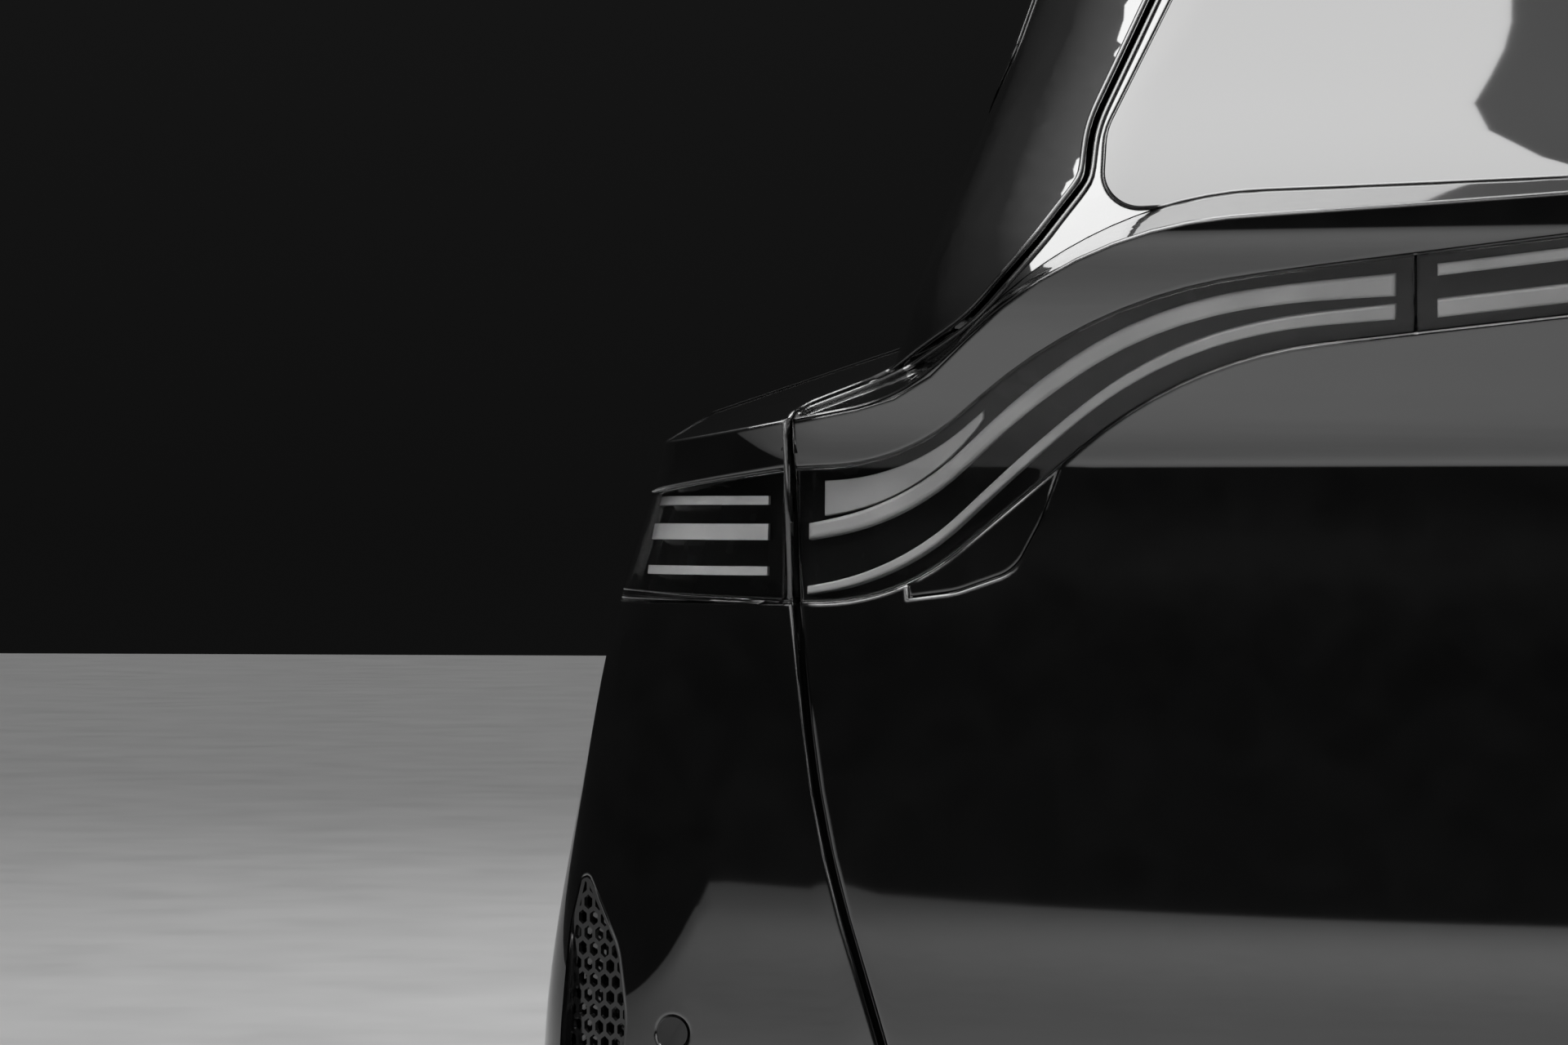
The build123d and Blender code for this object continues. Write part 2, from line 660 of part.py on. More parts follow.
with BuildPart() as corner_grilles:
    add(plate_pair)
corner_grilles.part.label = "corner_grilles"
export_step(corner_grilles.part, "parts/corner_grilles.step")

sensor_pair = mirrored((low_outer & sensor_prisms(SENSOR_R)) - tray_front_fit)
with BuildPart() as parking_sensors:
    add(sensor_pair)
parking_sensors.part.label = "parking_sensors"
export_step(parking_sensors.part, "parts/parking_sensors.step")

reflector_pair = mirrored((low_outer & reflector_fit) - tray_front_fit)
with BuildPart() as rear_reflectors:
    add(reflector_pair)
rear_reflectors.part.label = "rear_reflectors"
export_step(rear_reflectors.part, "parts/rear_reflectors.step")

# Inside: the frame behind the tailgate's edge with its seal, floor, side trims
above_sill = [(-1100, FLOOR_TOP, 0), (1100, FLOOR_TOP, 0), (1100, 1200, 0), (-1100, 1200, 0)]
frame_hole = cut_prism(gate_rows, -LIP) & cut_prism(above_sill)
frame_band = (cut_prism(gate_rows, FRAME_REACH) & gate_side & right_half) - frame_hole
sill_drop = block(0, SILL_HALF, -1000, -300, LOWER_TRIM_Z - 100, FLOOR_TOP)
low_fit = lower_body(WALL + PANEL_FIT)
low_frame_back = lower_body(FRAME_BACK)
swept = (cut_prism(gate_rows, SHUT_GAP) & gate_side) - rebate
right_band = (inner_fit & frame_band) - frame_back - swept
right_sill = (low_fit & sill_drop) - low_frame_back - swept
frame_pair = mirrored(right_band + right_sill)
with BuildPart() as aperture_frame:
    add(frame_pair)
aperture_frame.part.label = "aperture_frame"
export_step(aperture_frame.part, "parts/aperture_frame.step")

seal_band = (cut_prism(gate_rows, -SEAL_OUT) - cut_prism(gate_rows, -SEAL_IN)) & gate_side & right_half
seal_pair = mirrored((envelope(WALL + SEAL_GAP) & seal_band) - envelope(SEAL_BACK - PANEL_FIT))
with BuildPart() as aperture_seal:
    add(seal_pair)
aperture_seal.part.label = "aperture_seal"
export_step(aperture_seal.part, "parts/aperture_seal.step")

floor_slab = block(-1100, 1100, -1000, 0, FLOOR_TOP - FLOOR_THICKNESS, FLOOR_TOP)
floor_board = lower_body(FRAME_BACK + PANEL_FIT) & floor_slab
with BuildPart() as load_floor:
    add(floor_board)
load_floor.part.label = "load_floor"
export_step(load_floor.part, "parts/load_floor.step")

trim_span = block(0, 1100, -1000, 0, -360, SIDE_TRIM_TOP) - cut_prism(gate_rows, FRAME_REACH + PANEL_FIT)
trim_span = trim_span - block(-1, SILL_HALF + PANEL_FIT, -1000, -300, -400, 0)
trim_pair = mirrored((low_fit & trim_span) - low_frame_back)
with BuildPart() as side_trims:
    add(trim_pair)
side_trims.part.label = "side_trims"
export_step(side_trims.part, "parts/side_trims.step")

# Latch in the tailgate and its striker on the frame
slot_half, slot_rear, slot_high = LATCH_SLOT
latch_block = block(-latch_half, latch_half, latch_rear, -500, latch_low, latch_high)
latch_slot = block(
    -slot_half, slot_half, slot_rear, -500, STRIKER_Z - slot_high, STRIKER_Z + slot_high
)
latch_case = latch_block - inner - latch_slot
with BuildPart() as tailgate_latch:
    add(latch_case)
tailgate_latch.part.label = "tailgate_latch"
export_step(tailgate_latch.part, "parts/tailgate_latch.step")

with BuildPart() as striker_wire:
    with BuildLine() as wire_path:
        FilletPolyline(
            (-STRIKER_HALF, -560, STRIKER_Z),
            (-STRIKER_HALF, STRIKER_REAR_Y, STRIKER_Z),
            (STRIKER_HALF, STRIKER_REAR_Y, STRIKER_Z),
            (STRIKER_HALF, -560, STRIKER_Z),
            radius=6,
        )
    with BuildSketch(Plane((-STRIKER_HALF, -560, STRIKER_Z), x_dir=(1, 0, 0), z_dir=(0, -1, 0))):
        Circle(STRIKER_R)
    sweep(path=wire_path.wires()[0])
striker_loop = striker_wire.part - rebate
with BuildPart() as latch_striker:
    add(striker_loop)
latch_striker.part.label = "latch_striker"
export_step(latch_striker.part, "parts/latch_striker.step")

# Hinges
knuckle_half = KNUCKLE_WIDTH / 2
base_out = knuckle_half + 1 + KNUCKLE_WIDTH
hinge_base = x_cylinder(PIN_R, HINGE_X - base_out, HINGE_X + base_out, HINGE_Y, HINGE_Z)
for x0, x1 in ((-base_out, -knuckle_half - 1), (knuckle_half + 1, base_out)):
    hinge_base += x_cylinder(KNUCKLE_R, HINGE_X + x0, HINGE_X + x1, HINGE_Y, HINGE_Z)
    hinge_base += block(
        HINGE_X + x0, HINGE_X + x1, HINGE_Y, ROOF_END_Y - PANEL_FIT, HINGE_Z - KNUCKLE_R, HINGE_Z + KNUCKLE_R
    )
hinge_arm = x_cylinder(KNUCKLE_R, HINGE_X - knuckle_half, HINGE_X + knuckle_half, HINGE_Y, HINGE_Z)
hinge_arm += block(
    HINGE_X - knuckle_half, HINGE_X + knuckle_half, GATE_FRONT_Y + PANEL_FIT, HINGE_Y,
    HINGE_Z - KNUCKLE_R, HINGE_Z + KNUCKLE_R - 2,
)
hinge_arm += block(
    HINGE_X - 20, HINGE_X + 20, GATE_FRONT_Y + PANEL_FIT, GATE_FRONT_Y + 4, 940, HINGE_Z + KNUCKLE_R - 2
)
hinge_arm -= x_cylinder(PIN_R + PIN_CLEARANCE, HINGE_X - 30, HINGE_X + 30, HINGE_Y, HINGE_Z)
hinge_base_pair = mirrored(hinge_base)
hinge_arm_pair = mirrored(hinge_arm)
with BuildPart() as hinge_bases:
    add(hinge_base_pair)
hinge_bases.part.label = "hinge_bases"
export_step(hinge_bases.part, "parts/hinge_bases.step")

with BuildPart() as hinge_arms:
    add(hinge_arm_pair)
hinge_arms.part.label = "hinge_arms"
export_step(hinge_arms.part, "parts/hinge_arms.step")
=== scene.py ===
import json
import math

import bpy
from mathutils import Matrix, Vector
from mathutils.geometry import delaunay_2d_cdt


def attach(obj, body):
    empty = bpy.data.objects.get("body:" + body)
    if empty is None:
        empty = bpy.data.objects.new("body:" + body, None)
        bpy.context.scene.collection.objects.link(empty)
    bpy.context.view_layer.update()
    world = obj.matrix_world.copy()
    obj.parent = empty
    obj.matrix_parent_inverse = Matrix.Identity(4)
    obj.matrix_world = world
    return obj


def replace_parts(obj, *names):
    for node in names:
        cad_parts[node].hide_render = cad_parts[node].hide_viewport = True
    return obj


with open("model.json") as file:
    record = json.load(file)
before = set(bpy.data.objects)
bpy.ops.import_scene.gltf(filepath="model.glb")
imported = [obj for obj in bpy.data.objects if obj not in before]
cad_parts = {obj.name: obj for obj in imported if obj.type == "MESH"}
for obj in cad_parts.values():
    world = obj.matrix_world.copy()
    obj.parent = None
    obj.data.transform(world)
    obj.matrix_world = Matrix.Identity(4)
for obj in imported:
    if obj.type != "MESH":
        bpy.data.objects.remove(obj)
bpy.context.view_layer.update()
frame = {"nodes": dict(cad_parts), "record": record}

NODES = frame["nodes"]

# Places and sizes are in millimetres until add_piece makes a mesh; lights and camera in metres.
# Plan outlines of the body and the cabin: height, half width, reach rearwards, corner radius
BODY = (
    (-370, 940, 560, 130), (-230, 968, 616, 150), (-50, 976, 636, 160), (120, 949, 632, 165),
    (250, 922, 626, 165), (345, 893, 618, 160), (440, 874, 636, 150), (560, 857, 642, 140),
)
CABIN = (
    (360, 745, 478, 170), (480, 712, 452, 170), (600, 665, 380, 165), (760, 612, 280, 150),
    (920, 556, 185, 105), (1060, 500, 130, 55),
)
BOW = 3240.0               # radius of the tail's bow in plan
TAPER = math.tan(math.radians(5))
SIDE_ANGLE = math.radians(85)
MIN_CORNER = 8
# Perimeter from the middle of the tail: end of the bow, end of the corner, front cut
U_BOW, U_CORNER, U_FRONT = 785.0, 1030.0, 1470.0
U_END = U_FRONT - 3        # the skins' front edge
# Deck between body and cabin: x and z of its profile at the rear, at the front, corner radius
DECK_REAR_Y, DECK_DEPTH = -700, 760
DECK = (
    (0, 524, 0, 592, 1500), (540, 480, 560, 600, 300), (668, 364, 690, 460, 130),
    (838, 338, 900, 388, 60), (1000, 190, 1010, 300, 0),
)
# Outlines seen from behind: x, z, corner radius
GATE = (
    (662, -106, 42), (724, 97, 700), (740, 246, 0), (747, 378, 8), (640, 441, 110),
    (592, 495, 60), (557, 542, 25), (556, 580, 90), (396, 966, 30),
)
GLASS = ((0, 554, 0), (370, 525, 900), (548, 519, 28), (548, 578, 48), (392, 930, 40))
WAVE_UPPER = ((0, 510, 1500), (535, 449, 350), (668, 340, 150), (760, 336, 0))
WAVE_LOWER = ((760, 246, 0), (672, 247, 150), (478, 407, 300), (0, 457, 1500))
COVER = ((560, 341, 0), (575, 300, 60), (592, 268, 30), (632, 254, 60), (664, 250, 0), (668, 300, 0))
SIDE_LAMP = ((751, 336, 6), (930, 312, 0), (930, 254, 0), (750, 247, 6))
VENT = (
    (901, 62, 5), (871, 8, 50), (864, -40, 80), (872, -120, 100),
    (886, -178, 12), (908, -182, 12), (919, -70, 260), (912, 20, 80),
)
SENSORS = ((829.0, -47.0), (300.0, -155.0))
SENSOR_RADIUS = 11.4
REFLECTOR_CUT = (560, 720, -190, -160)
PLATE_RECESS = ((-185, 30, 4), (185, 30, 4), (185, 214, 4), (-185, 214, 4))
BUMPER_FOOT, BUMPER_TOP, PANEL_FOOT = -205.0, 246.5, 247.2
SHUT_GAP = 5
FIT = 0.3                  # gap round a lens or a glass
MIDDLE_HALF, SIDE_START = 327, 329     # split between the middle and the side lenses
WAVE_REACH, WAVE_ZONE = 760, (200, 600)
COVER_FIT, COVER_ROLL, COVER_WALL = 0.8, 1.2, 3.8
CABIN_FOOT, BODY_TOP, DECK_FRONT_Y = 362, 555, 60.0

# Skins: radius and steps of a rolled edge, wall depth, grid of the flat part
ROLL, ROLL_STEPS, WALL = 2.6, (90, 68, 45, 22, 0), 7.0
GRID_STEP = (24, 20)
GRID_MARGIN = 0.4
GRID_CLEAR, GRID_CELL = 5, 12
NORMAL_REACH = 4.0
SPECK = 4                  # area under which a cut-off loop is dropped
LENS = {"wall": 3.5, "roll": 2.0, "back": True}
GUIDE_DEPTH, POCKET_DEPTH = 8.0, 13.0


class Skin:
    """Analytic surface through plan outlines: a spline in height, bow, corner arc and side."""

    def __init__(self, table):
        self.z = [row[0] for row in table]
        self.cols = list(zip(*table))[1:]
        self.bends = [self.bend(col) for col in self.cols]

    def bend(self, v):
        z, c, d = self.z, [0.0], [0.0]
        for i in range(1, len(z) - 1):
            below, above = z[i] - z[i - 1], z[i + 1] - z[i]
            rhs = 6 * ((v[i + 1] - v[i]) / above - (v[i] - v[i - 1]) / below)
            pivot = 2 * (below + above) - below * c[-1]
            c.append(above / pivot)
            d.append((rhs - below * d[-1]) / pivot)
        m = [0.0] * len(z)
        for i in range(len(z) - 2, 0, -1):
            m[i] = d[i] - c[i] * m[i + 1]
        return m

    def at(self, z):
        i = 0
        while i < len(self.z) - 2 and z > self.z[i + 1]:
            i += 1
        h = self.z[i + 1] - self.z[i]
        t, u = z - self.z[i], self.z[i + 1] - z
        return [
            (m[i] * u**3 + m[i + 1] * t**3) / (6 * h)
            + (v[i] / h - m[i] * h / 6) * u + (v[i + 1] / h - m[i + 1] * h / 6) * t
            for v, m in zip(self.cols, self.bends)
        ]

    def plan(self, z, inset=0.0):
        half, reach, corner = self.at(z)
        w, d, r = half - inset, reach - inset, max(corner - inset, MIN_CORNER)
        mid = BOW - d
        x0 = w - r * math.sqrt(1 + TAPER**2)
        a = 1 + TAPER**2
        b = 2 * (x0 * TAPER - mid)
        c = x0**2 + mid**2 - (BOW - r) ** 2
        y = (-b - math.sqrt(b * b - 4 * a * c)) / (2 * a)
        x = x0 + TAPER * y
        return w, mid, r, x, y, math.asin(x / (BOW - r))

    def spot(self, u, z, inset=0.0):
        """Point at perimeter place u and height z."""
        w, mid, r, cx, cy, turn = self.plan(z, inset)
        s, side = abs(u), math.copysign(1, u)
        if s <= U_BOW:
            a = turn * s / U_BOW
            x, y = BOW * math.sin(a), mid - BOW * math.cos(a)
        elif s <= U_CORNER:
            a = turn + (SIDE_ANGLE - turn) * (s - U_BOW) / (U_CORNER - U_BOW)
            x, y = cx + r * math.sin(a), cy - r * math.cos(a)
        else:
            y1 = cy - r * math.cos(SIDE_ANGLE)
            y = y1 * (1 - (s - U_CORNER) / (U_FRONT - U_CORNER))
            x = w + y * TAPER
        return Vector((side * x, y, z))

    def place(self, x, z, inset=0.0):
        """Perimeter place of a given x on the surface seen from behind."""
        w, mid, r, cx, cy, turn = self.plan(z, inset)
        s, side = abs(x), math.copysign(1, x)
        if s <= BOW * math.sin(turn):
            return side * U_BOW * math.asin(s / BOW) / turn
        a = math.asin(min((s - cx) / r, 1.0))
        if s < cx + r * math.sin(SIDE_ANGLE):
            return side * (U_BOW + (U_CORNER - U_BOW) * (a - turn) / (SIDE_ANGLE - turn))
        y1, y = cy - r * math.cos(SIDE_ANGLE), (s - w) / TAPER
        return side * (U_CORNER + (U_FRONT - U_CORNER) * (1 - y / y1))

    def normal(self, u, z, inset=0.0):
        h = NORMAL_REACH
        du = self.spot(u + h, z, inset) - self.spot(u - h, z, inset)
        dz = self.spot(u, z + h, inset) - self.spot(u, z - h, inset)
        return du.cross(dz).normalized(), du / (2 * h), dz / (2 * h)


body = Skin(BODY)
cabin = Skin(CABIN)


def arcs(rows, closed=True, points=0):
    """Polyline through rows of (x, z, radius), its corners rounded."""
    out = []
    n = len(rows)
    for i, (x, z, radius) in enumerate(rows):
        here = Vector((x, z))
        if not radius or not closed and i in (0, n - 1):
            out.append(here)
            continue
        back = (Vector(rows[i - 1][:2]) - here).normalized()
        ahead = (Vector(rows[(i + 1) % n][:2]) - here).normalized()
        turn = math.pi - back.angle(ahead)
        reach = radius * math.tan(turn / 2)
        middle = here + (back + ahead).normalized() * (radius / math.cos(turn / 2))
        start, end = here + back * reach - middle, here + ahead * reach - middle
        steps = points or max(2, math.ceil(math.degrees(turn) / 4))
        swing = math.atan2(start.x * end.y - start.y * end.x, start.dot(end))
        for k in range(steps + 1):
            a = swing * k / steps
            cos, sin = math.cos(a), math.sin(a)
            out.append(middle + Vector((start.x * cos - start.y * sin, start.x * sin + start.y * cos)))
    return out


def flipped(rows):
    """Mirror image of rows, without those on the middle plane."""
    return [(-x, *rest) for x, *rest in reversed(rows) if x]


def both(rows):
    """Rows of the right half, from the middle outwards, with their mirror image."""
    return flipped(rows) + list(rows)


def mirrored(loop):
    """Mirror image of a loop, its inside kept on the left."""
    return [Vector((-p.x, p.y)) for p in reversed(loop)]


def height_on(path, x):
    for a, b in zip(path, path[1:]):
        if a.x <= x <= b.x:
            return a.y + (b.y - a.y) * (x - a.x) / (b.x - a.x)
    return path[-1].y


deck_rear = arcs(both([(x, z, r) for x, z, _, _, r in DECK]), False, 10)
deck_front = arcs(both([(x, z, r) for _, _, x, z, r in DECK]), False, 10)


def deck_height(x, y):
    t = (y - DECK_REAR_Y) / DECK_DEPTH
    return height_on([a.lerp(b, t) for a, b in zip(deck_rear, deck_front)], x)


def top_edge(u, start=400.0):
    """Height at which the body's surface meets the deck."""
    z = start
    for _ in range(12):
        p = body.spot(u, z)
        z = deck_height(p.x, p.y)
    return z


def tidy(loop, gap=0.4):
    """Loop without points closer to each other than the gap."""
    out = []
    for p in loop:
        if not out or (p - out[-1]).length > gap:
            out.append(p)
    while (out[0] - out[-1]).length <= gap:
        out.pop()
    return out


def inward(loop):
    """Mitred inward normals of a loop with its inside on the left."""
    out = []
    n = len(loop)
    for i in range(n):
        a = (loop[i] - loop[i - 1]).normalized()
        b = (loop[(i + 1) % n] - loop[i]).normalized()
        na, nb = Vector((-a.y, a.x)), Vector((-b.y, b.x))
        out.append((na + nb) / max(1 + na.dot(nb), 0.35))
    return out


def area_of(loop):
    return sum(p.x * q.y - q.x * p.y for p, q in zip(loop, loop[1:] + loop[:1])) / 2


def turned_left(loop):
    return list(loop) if area_of(loop) > 0 else list(loop)[::-1]


def grown(loop, amount):
    """Loop moved outwards, or inwards for an amount below 0."""
    loop = tidy(turned_left(loop))
    return [p - m * amount for p, m in zip(loop, inward(loop))]


def region(include, exclude=()):
    """Boundary loops, inside on the left, of the shared part of some outlines less others."""
    points, faces = [], []
    for outline in [turned_left(loop) for loop in [*include, *exclude]]:
        faces.append(list(range(len(points), len(points) + len(outline))))
        points += [Vector(p) for p in outline]
    coords, _, tris, _, _, owners = delaunay_2d_cdt(points, [], faces, 0, 1e-3, True)
    needed = set(range(len(include)))
    keep = [t for t, own in zip(tris, owners) if set(own) == needed]
    edges = {(t[i - 1], t[i]) for t in keep for i in range(3)}
    ahead = {a: b for a, b in edges if (b, a) not in edges}
    loops = []
    while ahead:
        start, here = ahead.popitem()
        loop = [start]
        while here != start and here in ahead:
            loop.append(here)
            here = ahead.pop(here)
        if abs(area_of([coords[i] for i in loop])) > SPECK:
            loops.append(tidy([coords[i] for i in loop]))
    return loops


def inside(p, loops):
    """Even-odd test of a point against all loops."""
    hit = False
    for loop in loops:
        for a, b in zip(loop, loop[1:] + loop[:1]):
            if (a.y > p[1]) != (b.y > p[1]) and p[0] < a.x + (b.x - a.x) * (p[1] - a.y) / (b.y - a.y):
                hit = not hit
    return hit


def add_piece(name, points, normals, faces, material, rider):
    """Mesh in metres with its own normals, riding on a body."""
    mesh = bpy.data.meshes.new(name)
    mesh.from_pydata([p / 1000 for p in points], [], faces)
    for polygon in mesh.polygons:
        polygon.use_smooth = True
    own = mesh.attributes.new("custom_normal", "FLOAT_VECTOR", "POINT")
    own.data.foreach_set("vector", [c for n in normals for c in n])
    mesh.update()
    mesh.materials.append(MATERIALS[material])
    obj = bpy.data.objects.new(name, mesh)
    bpy.context.scene.collection.objects.link(obj)
    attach(obj, rider)
    return obj


def key(p):
    return round(p.x, 2), round(p.y, 2)


def cell(p):
    return int(p.x // GRID_CELL), int(p.y // GRID_CELL)


def clear_of(p, near):
    """True where no boundary point lies close to p."""
    i, j = cell(p)
    return all(
        (p - q).length > GRID_CLEAR
        for di in (-1, 0, 1) for dj in (-1, 0, 1) for q in near.get((i + di, j + dj), ())
    )


def staggered_grid(loops, step):
    """Points inside the loops, every second row moved by half a step."""
    flat = [p for loop in loops for p in loop]
    bottom, top = min(p.y for p in flat), max(p.y for p in flat)
    grid, row, z = [], 0, bottom + step[1] / 2
    while z < top:
        spans = []
        for loop in loops:
            for a, b in zip(loop, loop[1:] + loop[:1]):
                if (a.y > z) != (b.y > z):
                    spans.append(a.x + (b.x - a.x) * (z - a.y) / (b.y - a.y))
        spans.sort()
        half = row % 2 / 2
        for low, high in zip(spans[::2], spans[1::2]):
            k = math.ceil((low + step[0] * GRID_MARGIN) / step[0] - half)
            while (k + half) * step[0] < high - step[0] * GRID_MARGIN:
                grid.append(Vector(((k + half) * step[0], z)))
                k += 1
        z += step[1]
        row += 1
    near = {}
    for p in flat:
        near.setdefault(cell(p), []).append(p)
    return [p for p in grid if clear_of(p, near)]


def skin(
    name, surface, loops, material, rider, wall=WALL, roll=ROLL, step=GRID_STEP, inset=0.0, back=False
):
    """Panel on a surface, with its edges rolled over and a wall behind them."""
    points, normals, faces = [], [], []

    def vertex(p, side, depth, angle):
        """New vertex; its normal leans outwards by the angle."""
        n, du, dz = surface.normal(p.x, p.y, inset)
        out = -(du * side.x + dz * side.y)
        out = (out - n * out.dot(n)).normalized()
        points.append(surface.spot(p.x, p.y, inset) - n * depth)
        normals.append(n * math.cos(angle) + out * math.sin(angle))
        return len(points) - 1

    def behind(p):
        n = surface.normal(p.x, p.y, inset)[0]
        points.append(surface.spot(p.x, p.y, inset) - n * wall)
        normals.append(-n)
        return len(points) - 1

    angles = [math.radians(a) for a in ROLL_STEPS]
    edge_loops, index = [], {}
    for loop in loops:
        sides = inward(loop)
        rings = [[vertex(p, s, wall, angles[0]) for p, s in zip(loop, sides)]]
        for a in angles:
            rings.append([
                vertex(p + s * roll * (1 - math.sin(a)), s, roll * (1 - math.cos(a)), a)
                for p, s in zip(loop, sides)
            ])
        for low, high in zip(rings, rings[1:]):
            for i in range(len(loop)):
                j = (i + 1) % len(loop)
                faces.append((low[i], low[j], high[j], high[i]))
        inner = [p + s * roll for p, s in zip(loop, sides)]
        edge_loops.append(inner)
        index.update((key(p), i) for p, i in zip(inner, rings[-1]))
    flat = [p for loop in edge_loops for p in loop]
    edges, start = [], 0
    for loop in edge_loops:
        edges += [(start + i, start + (i + 1) % len(loop)) for i in range(len(loop))]
        start += len(loop)
    grid = staggered_grid(edge_loops, step)
    coords, _, tris, _, _, _ = delaunay_2d_cdt(flat + grid, edges, [], 0, 1e-4, True)
    fixed = []
    for p in coords:
        i = index.get(key(p))
        fixed.append(vertex(p, Vector((0, 0)), 0, 0) if i is None else i)
    kept = []
    for t in tris:
        middle = (coords[t[0]] + coords[t[1]] + coords[t[2]]) / 3
        if inside(middle, edge_loops):
            kept.append(t)
            faces.append(tuple(fixed[i] for i in t))
    if back:
        rear = [behind(p) for p in coords]
        faces += [tuple(rear[i] for i in reversed(t)) for t in kept]
        spot_of = {key(p): i for p, i in zip(coords, rear)}
        for loop, inner in zip(loops, edge_loops):
            rim = [behind(p) for p in loop]
            for i in range(len(loop)):
                j = (i + 1) % len(loop)
                a, b = spot_of.get(key(inner[i])), spot_of.get(key(inner[j]))
                if a is not None and b is not None:
                    faces.append((rim[j], rim[i], a, b))
    return add_piece(name, points, normals, faces, material, rider)


def on(surface, outline, inset=0.0):
    """Outline in (x, z) as places on the surface."""
    return [Vector((surface.place(p.x, p.y, inset), p.y)) for p in outline]


def new_material(name):
    """Material, its node tree and its shader."""
    mat = bpy.data.materials.new(name)
    mat.use_nodes = True
    tree = mat.node_tree
    return mat, tree, tree.nodes["Principled BSDF"]


def ramp(tree, source, stops):
    """Colour ramp of grey values or colours, driven by a socket."""
    node = tree.nodes.new("ShaderNodeValToRGB")
    while len(node.color_ramp.elements) < len(stops):
        node.color_ramp.elements.new(0.5)
    for element, (place, value) in zip(node.color_ramp.elements, stops):
        element.position = place
        element.color = (*value, 1) if isinstance(value, tuple) else (value, value, value, 1)
    tree.links.new(source, node.inputs[0])
    return node.outputs[0]


def noise(tree, scale, detail=3.0, rough=0.5):
    place = tree.nodes.new("ShaderNodeTexCoord")
    node = tree.nodes.new("ShaderNodeTexNoise")
    node.inputs["Scale"].default_value = scale
    node.inputs["Detail"].default_value = detail
    node.inputs["Roughness"].default_value = rough
    tree.links.new(place.outputs["Object"], node.inputs["Vector"])
    return node.outputs["Fac"]


def bump(tree, shader, source, distance, strength=1.0):
    node = tree.nodes.new("ShaderNodeBump")
    node.inputs["Distance"].default_value = distance
    node.inputs["Strength"].default_value = strength
    tree.links.new(source, node.inputs["Height"])
    tree.links.new(node.outputs[0], shader.inputs["Normal"])


def varied(tree, socket, scale, low, high):
    """Value that wanders between low and high over the surface."""
    tree.links.new(ramp(tree, noise(tree, scale), ((0.3, low), (0.7, high))), socket)


def plain(name, low, high, rough, scale=40.0, metallic=0.0, coat=0.0, grain=0.0, grain_scale=900.0):
    """Solid finish with a slow drift of colour and gloss, and a grain where asked."""
    mat, tree, shader = new_material(name)
    varied(tree, shader.inputs["Base Color"], scale, low, high)
    varied(tree, shader.inputs["Roughness"], scale * 2.3, rough * 0.85, min(1.0, rough * 1.15))
    shader.inputs["Metallic"].default_value = metallic
    shader.inputs["Coat Weight"].default_value = coat
    shader.inputs["Coat Roughness"].default_value = 0.02
    if grain:
        bump(tree, shader, noise(tree, grain_scale, 2.0), grain)
    return mat


MATERIALS = {
    "body_paint": plain("body_paint", 0.0022, 0.004, 0.2, 30, coat=1.0),
    "gloss_black": plain("gloss_black", 0.004, 0.007, 0.12, 30, coat=0.6),
    "black_trim": plain("black_trim", 0.018, 0.028, 0.55, 60, grain=0.0002),
    "window_glass": plain("window_glass", 0.004, 0.006, 0.03, 5, coat=1.0),
    "lamp_tray": plain("lamp_tray", 0.006, 0.01, 0.25, 20, coat=0.1),
    "light_guide": plain("light_guide", 0.48, 0.58, 0.22, 20),
    "red_lens": plain("red_lens", (0.35, 0.004, 0.006), (0.45, 0.006, 0.008), 0.08, 30, coat=1.0),
    "inner_trim": plain("inner_trim", 0.035, 0.05, 0.7, 50, grain=0.0003),
    "frame_steel": plain("frame_steel", 0.006, 0.01, 0.35, 30, coat=0.4),
    "seal_rubber": plain("seal_rubber", 0.012, 0.02, 0.75, 80, grain=0.0002),
    "floor_cover": plain("floor_cover", 0.03, 0.045, 0.95, 200, grain=0.001),
    "hinge_metal": plain("hinge_metal", 0.01, 0.016, 0.35, 60),
    "bright_steel": plain("bright_steel", 0.5, 0.62, 0.28, 60, metallic=1.0),
    "plate_white": plain("plate_white", 0.72, 0.78, 0.35, 30),
}

# Clear coat over black, with the solids' own edges softened in the shading
paint_tree = MATERIALS["body_paint"].node_tree
paint_shader = paint_tree.nodes["Principled BSDF"]
paint_shader.inputs["Specular IOR Level"].default_value = 0.05
paint_shader.inputs["Coat IOR"].default_value = 2.1
soft_edge = paint_tree.nodes.new("ShaderNodeBevel")
soft_edge.samples = 6
soft_edge.inputs["Radius"].default_value = 0.0025
for socket in ("Normal", "Coat Normal"):
    paint_tree.links.new(soft_edge.outputs[0], paint_shader.inputs[socket])

tray_shader = MATERIALS["lamp_tray"].node_tree.nodes["Principled BSDF"]
tray_shader.inputs["Specular IOR Level"].default_value = 0.1

lens, tree, shader = new_material("lamp_lens")
shader.inputs["Transmission Weight"].default_value = 1.0
shader.inputs["IOR"].default_value = 1.3
varied(tree, shader.inputs["Base Color"], 20, 0.87, 0.91)
varied(tree, shader.inputs["Roughness"], 30, 0.0, 0.02)
MATERIALS["lamp_lens"] = lens

# The solids: own material, smooth shading; those under a skin draw back a little from it
slot_of = {entry["node"]: entry["material_slot"] for entry in frame["record"]["subparts"]}
COVERED = ("tailgate_shell", "side_panel_left", "side_panel_right", "bumper_cover")
DRAW_BACK = 0.0011
for name, piece in NODES.items():
    piece.data.materials.clear()
    piece.data.materials.append(MATERIALS[slot_of[name]])
    for polygon in piece.data.polygons:
        polygon.use_smooth = True
    if name in COVERED:
        shrink = piece.modifiers.new("under_skin", "DISPLACE")
        shrink.strength = -DRAW_BACK
        shrink.mid_level = 0.0
    piece.modifiers.new("normals", "WEIGHTED_NORMAL").keep_sharp = True

